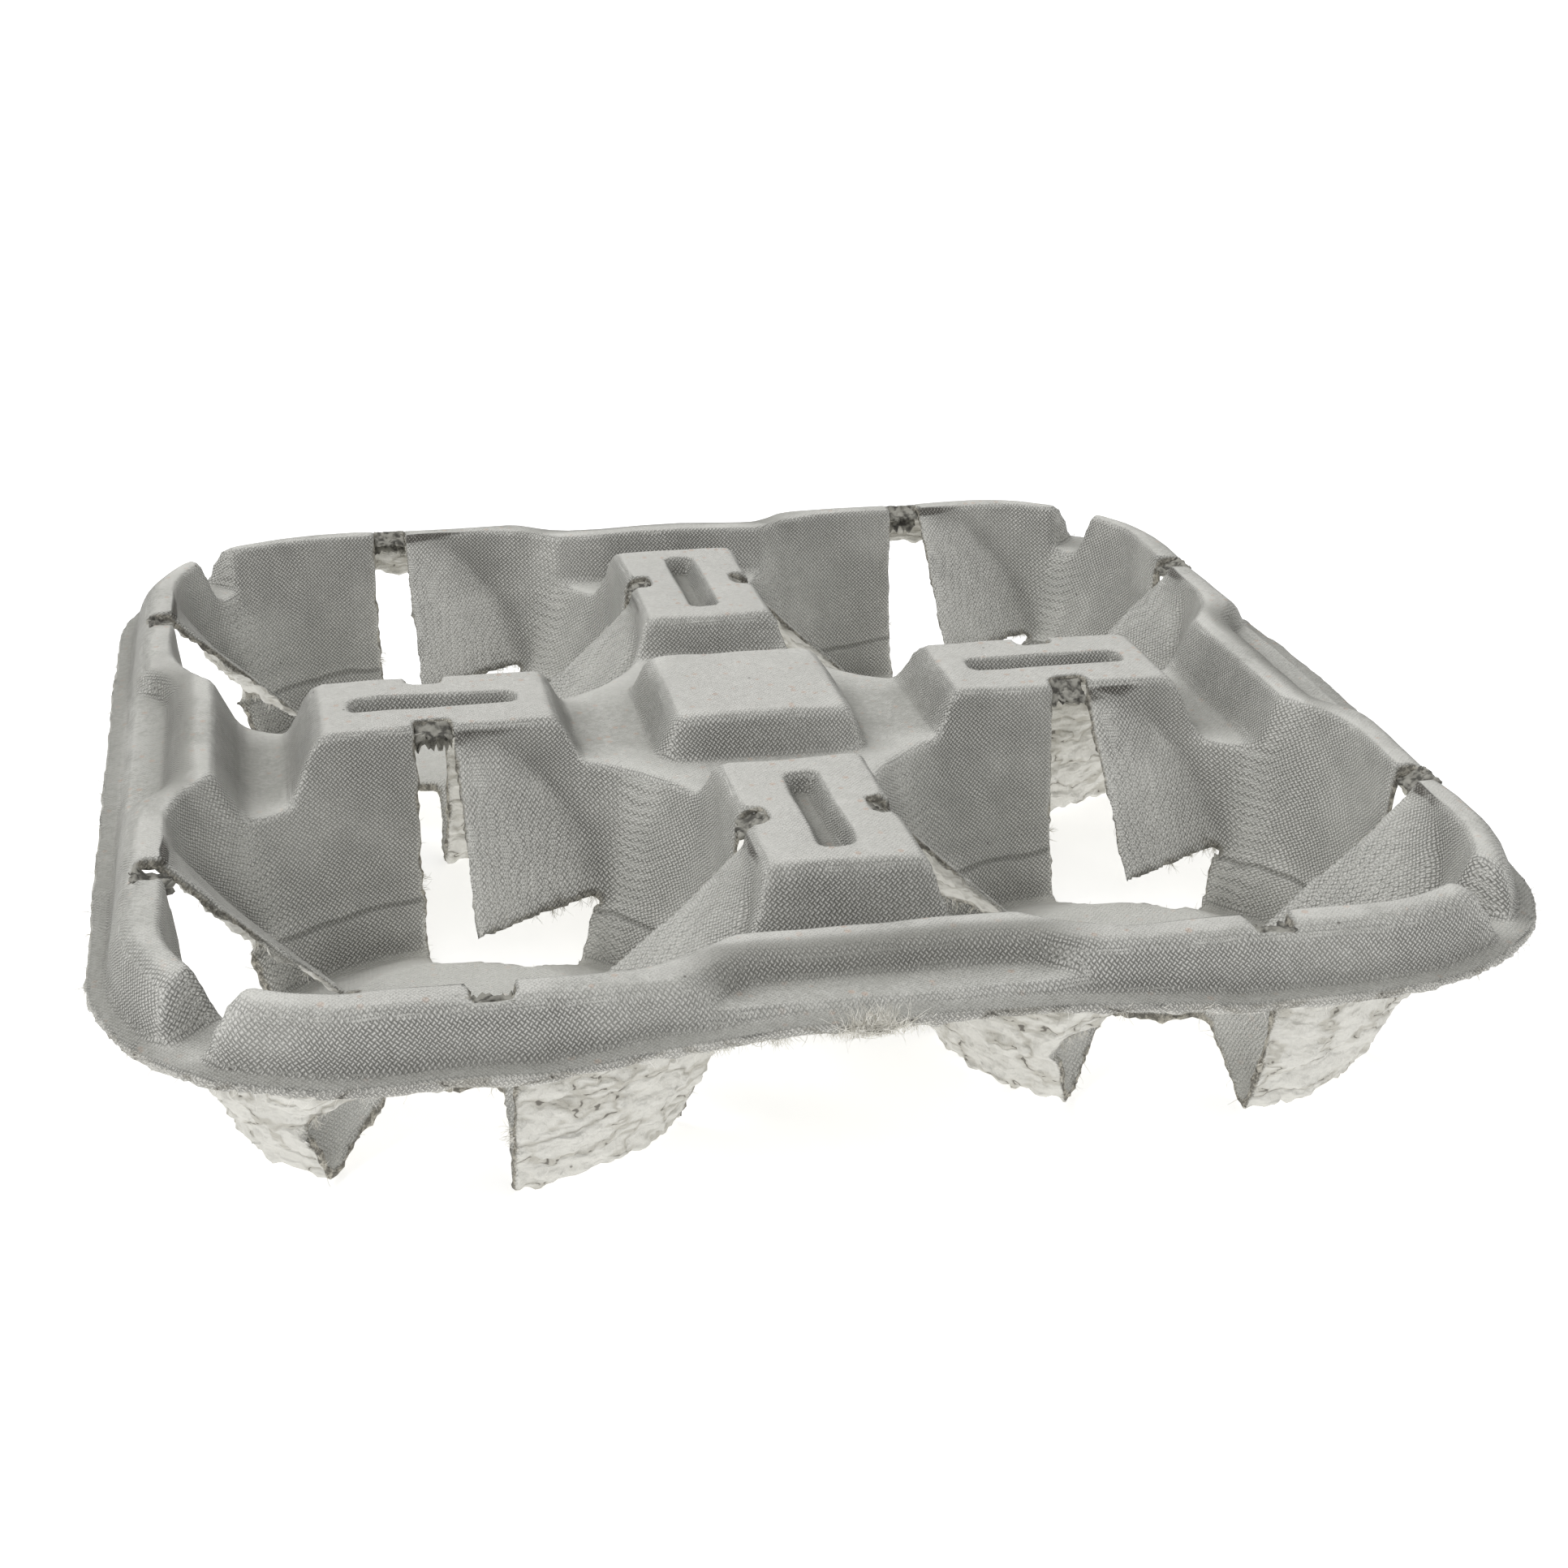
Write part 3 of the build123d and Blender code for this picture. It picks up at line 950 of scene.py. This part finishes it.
@dataclass
class LooseFibres:
    """Fibres that stand out of the torn edges, and the tuft on the front lip."""

    sheet: bpy.types.Object
    seed: int = 11
    strand_radius: float = 0.045 * MM
    strand_joints: int = 3
    strand_root: float = 0.1
    strand_taper: float = 0.2
    strand_bend: float = 0.6
    torn_limit: float = 0.5

    flap_level: float = FLAP_LEVEL
    flap_reach: float = 1.3 * MM
    flap_count: int = 1500
    flap_length: float = 1.6 * MM
    slot_count: int = 320
    slot_length: float = 1.4 * MM
    lip_count: int = 420
    lip_length: float = 1.5 * MM
    edge_lengths: Limits = (0.4, 1.6)

    tuft_count: int = 420
    tuft_length: float = 5.0 * MM
    tuft_lengths: Limits = (0.3, 1.0)
    tuft_place: Place = (-4.4 * MM, -104.8 * MM, 30.0 * MM)
    tuft_spread: float = 2.0 * MM
    tuft_rise: Limits = (-0.8 * MM, 0.6 * MM)
    tuft_sideways: Limits = (-0.7, 0.5)
    tuft_forward: float = -0.15
    tuft_upwards: Limits = (0.3, 1.2)

    clump_count: int = 90
    clump_length: float = 1.7 * MM
    clump_lengths: Limits = (0.4, 1.3)
    clump_spread: float = 1.3 * MM
    clump_inset: Limits = (-0.3 * MM, 0.8 * MM)
    clump_sideways: Limits = (-1.0, 1.0)
    clump_forward: Limits = (-0.6, 0.3)
    clump_upwards: float = -0.7
    clump_places: tuple[Place, ...] = (
        (-24.5 * MM, -104.0 * MM, 29.1 * MM),
        (-17.0 * MM, -104.0 * MM, 29.5 * MM),
        (-9.0 * MM, -104.0 * MM, 29.9 * MM),
        (1.0 * MM, -104.0 * MM, 30.0 * MM),
    )

    def __post_init__(self) -> None:
        """Starts the random numbers and the curve that takes the fibres."""
        self.chance = random.Random(self.seed)
        self.curve = bpy.data.curves.new("loose_fibres", "CURVE")
        self.curve.dimensions = "3D"
        self.curve.bevel_depth = self.strand_radius
        self.curve.bevel_resolution = 0
        self.curve.resolution_u = 2

    def build(self, material: bpy.types.Material) -> bpy.types.Object:
        """Makes the fibres as one mesh.

        Args:
            material: Their finish.

        Returns:
            The finished piece.
        """
        flaps, slots, lips = self._edges()
        self._sow(flaps, self.flap_count, self.flap_length)
        self._sow(slots, self.slot_count, self.slot_length)
        self._sow(lips, self.lip_count, self.lip_length)
        self._tuft()
        self._clumps()
        piece = bpy.data.objects.new("loose_fibres", self.curve)
        bpy.context.scene.collection.objects.link(piece)
        select_only(piece)
        bpy.ops.object.convert(target="MESH")
        piece = bpy.context.object
        dress(piece, material)
        register(piece)
        return piece

    def _edges(self) -> tuple[list[Root], list[Root], list[Root]]:
        """Sorts the points of the sheet's torn edges.

        Returns:
            The places and directions on the flaps' lower edges, on the slots and on the lip.
        """
        mesh = self.sheet.data
        edge = mesh.attributes[SheetMark.EDGE.value].data
        lip = mesh.attributes[SheetMark.LIP.value].data
        flaps: list[Root] = []
        slots: list[Root] = []
        lips: list[Root] = []
        for vertex in mesh.vertices:
            root = (vertex.co.copy(), vertex.normal.copy())
            if lip[vertex.index].value > self.torn_limit:
                lips.append(root)
            elif edge[vertex.index].value > self.torn_limit:
                low = abs(vertex.co.z - self.flap_level) < self.flap_reach
                (flaps if low else slots).append(root)
        return flaps, slots, lips

    def _sow(self, roots: list[Root], count: int, length: float) -> None:
        """Grows fibres from points picked at random.

        Args:
            roots: Places and directions to pick from.
            count: How many fibres grow.
            length: Their mean length.
        """
        for _ in range(count):
            start, normal = self.chance.choice(roots)
            self._strand(start, normal, length * self.chance.uniform(*self.edge_lengths))

    def _strand(self, start: Vector, way: Vector, length: float) -> None:
        """Grows one bent fibre.

        Args:
            start: Where it leaves the sheet.
            way: The direction it starts in.
            length: Its length.
        """
        strand = self.curve.splines.new("NURBS")
        strand.points.add(self.strand_joints)
        strand.order_u = 3
        strand.use_endpoint_u = True
        spot = start - self.strand_root * length * way
        heading = way.normalized()
        for index, point in enumerate(strand.points):
            point.co = (*spot, 1.0)
            point.radius = 1.0 - self.strand_taper * index
            bend = Vector([self.chance.uniform(-1, 1) for _ in range(3)])
            heading = (heading + self.strand_bend * bend).normalized()
            spot = spot + heading * length / self.strand_joints

    def _tuft(self) -> None:
        """Grows the tuft of long fibres on the front lip."""
        draw = self.chance.uniform
        for _ in range(self.tuft_count):
            shift = Vector((self.chance.gauss(0, self.tuft_spread), 0, draw(*self.tuft_rise)))
            way = Vector((draw(*self.tuft_sideways), self.tuft_forward, draw(*self.tuft_upwards)))
            length = self.tuft_length * draw(*self.tuft_lengths)
            self._strand(Vector(self.tuft_place) + shift, way.normalized(), length)

    def _clumps(self) -> None:
        """Grows the short felted clumps under the front lip."""
        draw = self.chance.uniform
        for place in self.clump_places:
            for _ in range(self.clump_count):
                shift = Vector((self.chance.gauss(0, self.clump_spread), draw(*self.clump_inset), 0))
                way = Vector((draw(*self.clump_sideways), draw(*self.clump_forward), self.clump_upwards))
                length = self.clump_length * draw(*self.clump_lengths)
                self._strand(Vector(place) + shift, way.normalized(), length)


@dataclass
class SlotCurls:
    """Tongues of felted pulp that the punch left curled under the top end of each slot."""

    half_pitch: float = HALF_PITCH
    slot_reach: float = 45.2 * MM
    boss_level: float = 37.1 * MM
    crest_level: float = 35.6 * MM
    width: float = 5.9 * MM
    length: float = 5.6 * MM
    lengths: Limits = (0.75, 1.15)
    leans: tuple[float, ...] = (0.75, -0.1)
    turn: float = 0.9
    turns: Limits = (0.7, 1.3)
    ragged: Limits = (0.7, 1.0)
    thickness: float = 0.7 * MM
    crumple: float = 1.6 * MM
    crumple_size: float = 1.4 * MM
    cells: int = 14
    seed: int = 5

    def build(self, material: bpy.types.Material) -> bpy.types.Object:
        """Makes the curls of every slot, one for each lean, and joins them.

        Args:
            material: Their finish.

        Returns:
            The finished piece.
        """
        chance = random.Random(self.seed)
        curls: list[bpy.types.Object] = []
        for across in (-1, 1):
            for along in (-1, 1):
                for quarter in range(4):
                    way = Vector((1, 0, 0)) @ Matrix.Rotation(-quarter * math.pi / 2, 3, "Z")
                    well = Vector((across, along, 0)) * self.half_pitch
                    level = self.boss_level if way.dot(well) < 0 else self.crest_level
                    curls.extend(self._curl(chance, well, way, level, lean) for lean in self.leans)
        bpy.ops.object.select_all(action="DESELECT")
        for curl in curls:
            curl.select_set(True)
        bpy.context.view_layer.objects.active = curls[0]
        bpy.ops.object.join()
        piece = bpy.context.object
        piece.name = "slot_curls"
        dress(piece, material)
        bpy.ops.object.shade_smooth()
        register(piece)
        return piece

    def _curl(self, chance: random.Random, well: Vector, way: Vector, level: float,
              lean: float) -> bpy.types.Object:
        """Makes one curl of a slot.

        Args:
            chance: The random numbers.
            well: The middle of the well.
            way: The direction from there to the slot.
            level: The height that the curl hangs from.
            lean: How far it starts out of the upright.

        Returns:
            The curl.
        """
        bpy.ops.object.select_all(action="DESELECT")
        bpy.ops.mesh.primitive_grid_add(x_subdivisions=self.cells, y_subdivisions=self.cells, size=1.0)
        curl = bpy.context.object
        length = self.length * chance.uniform(*self.lengths)
        turn = self.turn * chance.uniform(*self.turns)
        ragged = [chance.uniform(*self.ragged) for _ in range(self.cells + 2)]
        side = Vector((-way.y, way.x, 0))
        for vertex in curl.data.vertices:
            part = (vertex.co.y + 0.5) * ragged[round((vertex.co.x + 0.5) * self.cells)]
            bend = lean + turn * part
            inward = (math.cos(lean) - math.cos(bend)) * length / turn
            drop = (math.sin(bend) - math.sin(lean)) * length / turn
            reach = well + way * (self.slot_reach - inward)
            vertex.co = reach + side * (vertex.co.x * self.width) + Vector((0, 0, level - drop))
        texture = bpy.data.textures.new("curl_crumple", "CLOUDS")
        texture.noise_scale = self.crumple_size
        crumple = curl.modifiers.new("crumple", "DISPLACE")
        crumple.texture = texture
        crumple.texture_coords = "LOCAL"
        crumple.strength = self.crumple
        apply_modifier(curl, crumple)
        body = curl.modifiers.new("body", "SOLIDIFY")
        body.thickness = self.thickness
        body.offset = 0.0
        apply_modifier(curl, body)
        return curl


@dataclass(frozen=True)
class Lamp:
    """One soft light from far off."""

    name: str
    place: Place
    spread: float
    strength: float

    def hang(self) -> None:
        """Hangs the light, turned to the carrier."""
        light = bpy.data.lights.new(self.name, "SUN")
        light.energy = self.strength
        light.angle = self.spread
        source = bpy.data.objects.new(self.name, light)
        source.location = self.place
        source.rotation_euler = Vector(self.place).to_track_quat("Z", "Y").to_euler()
        bpy.context.scene.collection.objects.link(source)


@dataclass
class Studio:
    """Pale floor, soft light and the camera at the photo's angle."""

    floor_half: float = 6.0
    floor_seen: Colour = (0.95, 0.95, 0.95, 1.0)
    floor_bounce: Colour = (0.45, 0.45, 0.45, 1.0)
    floor_glow: float = 0.95
    floor_glow_seen: float = 0.46
    world_light: float = 0.60
    azimuth: float = math.radians(12.81)
    elevation: float = math.radians(23.7)
    roll: float = math.radians(0.95)
    place: Place = (-0.075592, -0.362032, 0.181352)
    lens: float = 54.503
    sensor: float = 36.0
    lamps: tuple[Lamp, ...] = (
        Lamp("top_light", (-0.75, 0.40, 1.0), math.radians(40), 1.0),
        Lamp("front_light", (-0.35, -0.90, 0.80), math.radians(60), 0.5),
    )

    def build(self) -> None:
        """Makes the floor, the lights, the world and the camera."""
        self._floor()
        self._world()
        for lamp in self.lamps:
            lamp.hang()
        self._camera()

    def _floor(self) -> None:
        """Lays the pale floor that the carrier stands on."""
        bpy.ops.object.select_all(action="DESELECT")
        bpy.ops.mesh.primitive_plane_add(size=2 * self.floor_half)
        floor = bpy.context.object
        floor.name = "studio_floor"
        dress(floor, self._paper())

    def _paper(self) -> bpy.types.Material:
        """Makes the floor's finish, which is white to the camera and clear from below.

        Returns:
            The material.
        """
        material, nodes, shader = MatteBase("studio_paper", 1.0, 0.0).build()
        path = nodes.add("ShaderNodeLightPath")
        seen = nodes.larger(path.outputs["Is Camera Ray"], path.outputs["Is Glossy Ray"])
        seen = nodes.larger(seen, path.outputs["Is Transmission Ray"])
        nodes.feed(shader.inputs["Base Color"], nodes.mix(seen, self.floor_bounce, self.floor_seen))
        glow = nodes.ramp(seen, Span(0.0, 1.0, self.floor_glow, self.floor_glow_seen))
        shader.inputs["Emission Color"].default_value = WHITE
        nodes.feed(shader.inputs["Emission Strength"], glow)
        below = nodes.add("ShaderNodeNewGeometry").outputs["Backfacing"]
        clear = nodes.add("ShaderNodeBsdfTransparent").outputs[0]
        sides = nodes.add("ShaderNodeMixShader", {0: below, 1: shader.outputs[0], 2: clear})
        nodes.feed(material.node_tree.nodes["Material Output"].inputs["Surface"], sides.outputs[0])
        return material

    def _world(self) -> None:
        """Fills the scene with even white light."""
        world = bpy.data.worlds.new("studio_air")
        bpy.context.scene.world = world
        world.use_nodes = True
        background = world.node_tree.nodes["Background"]
        background.inputs["Color"].default_value = WHITE
        background.inputs["Strength"].default_value = self.world_light

    def _camera(self) -> None:
        """Sets the camera at the photo's place, angle and lens."""
        flat = math.cos(self.elevation)
        aside = -math.sin(self.azimuth) * flat
        front = -math.cos(self.azimuth) * flat
        back = Vector((aside, front, math.sin(self.elevation)))
        level = Vector((math.cos(self.azimuth), -math.sin(self.azimuth), 0.0))
        upright = back.cross(level)
        right = math.cos(self.roll) * level + math.sin(self.roll) * upright
        top = math.cos(self.roll) * upright - math.sin(self.roll) * level
        turn = Matrix((right, top, back)).transposed().to_4x4()
        turn.translation = Vector(self.place)
        camera = bpy.data.cameras.new("photo_camera")
        camera.lens = self.lens
        camera.sensor_width = self.sensor
        view = bpy.data.objects.new("photo_camera", camera)
        view.matrix_world = turn
        bpy.context.scene.collection.objects.link(view)
        bpy.context.scene.camera = view


def main() -> None:
    """Builds the carrier's looks and the studio."""
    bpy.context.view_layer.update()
    sheet = PulpSheet(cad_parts[NODE_NAME]).build(PulpFinish().build())
    LooseFibres(sheet).build(LOOSE_FIBRE.build())
    SlotCurls().build(FELTED_CURL.build())
    Studio().build()
    bpy.context.scene.view_settings.view_transform = "Standard"


if __name__ == "__main__":
    main()
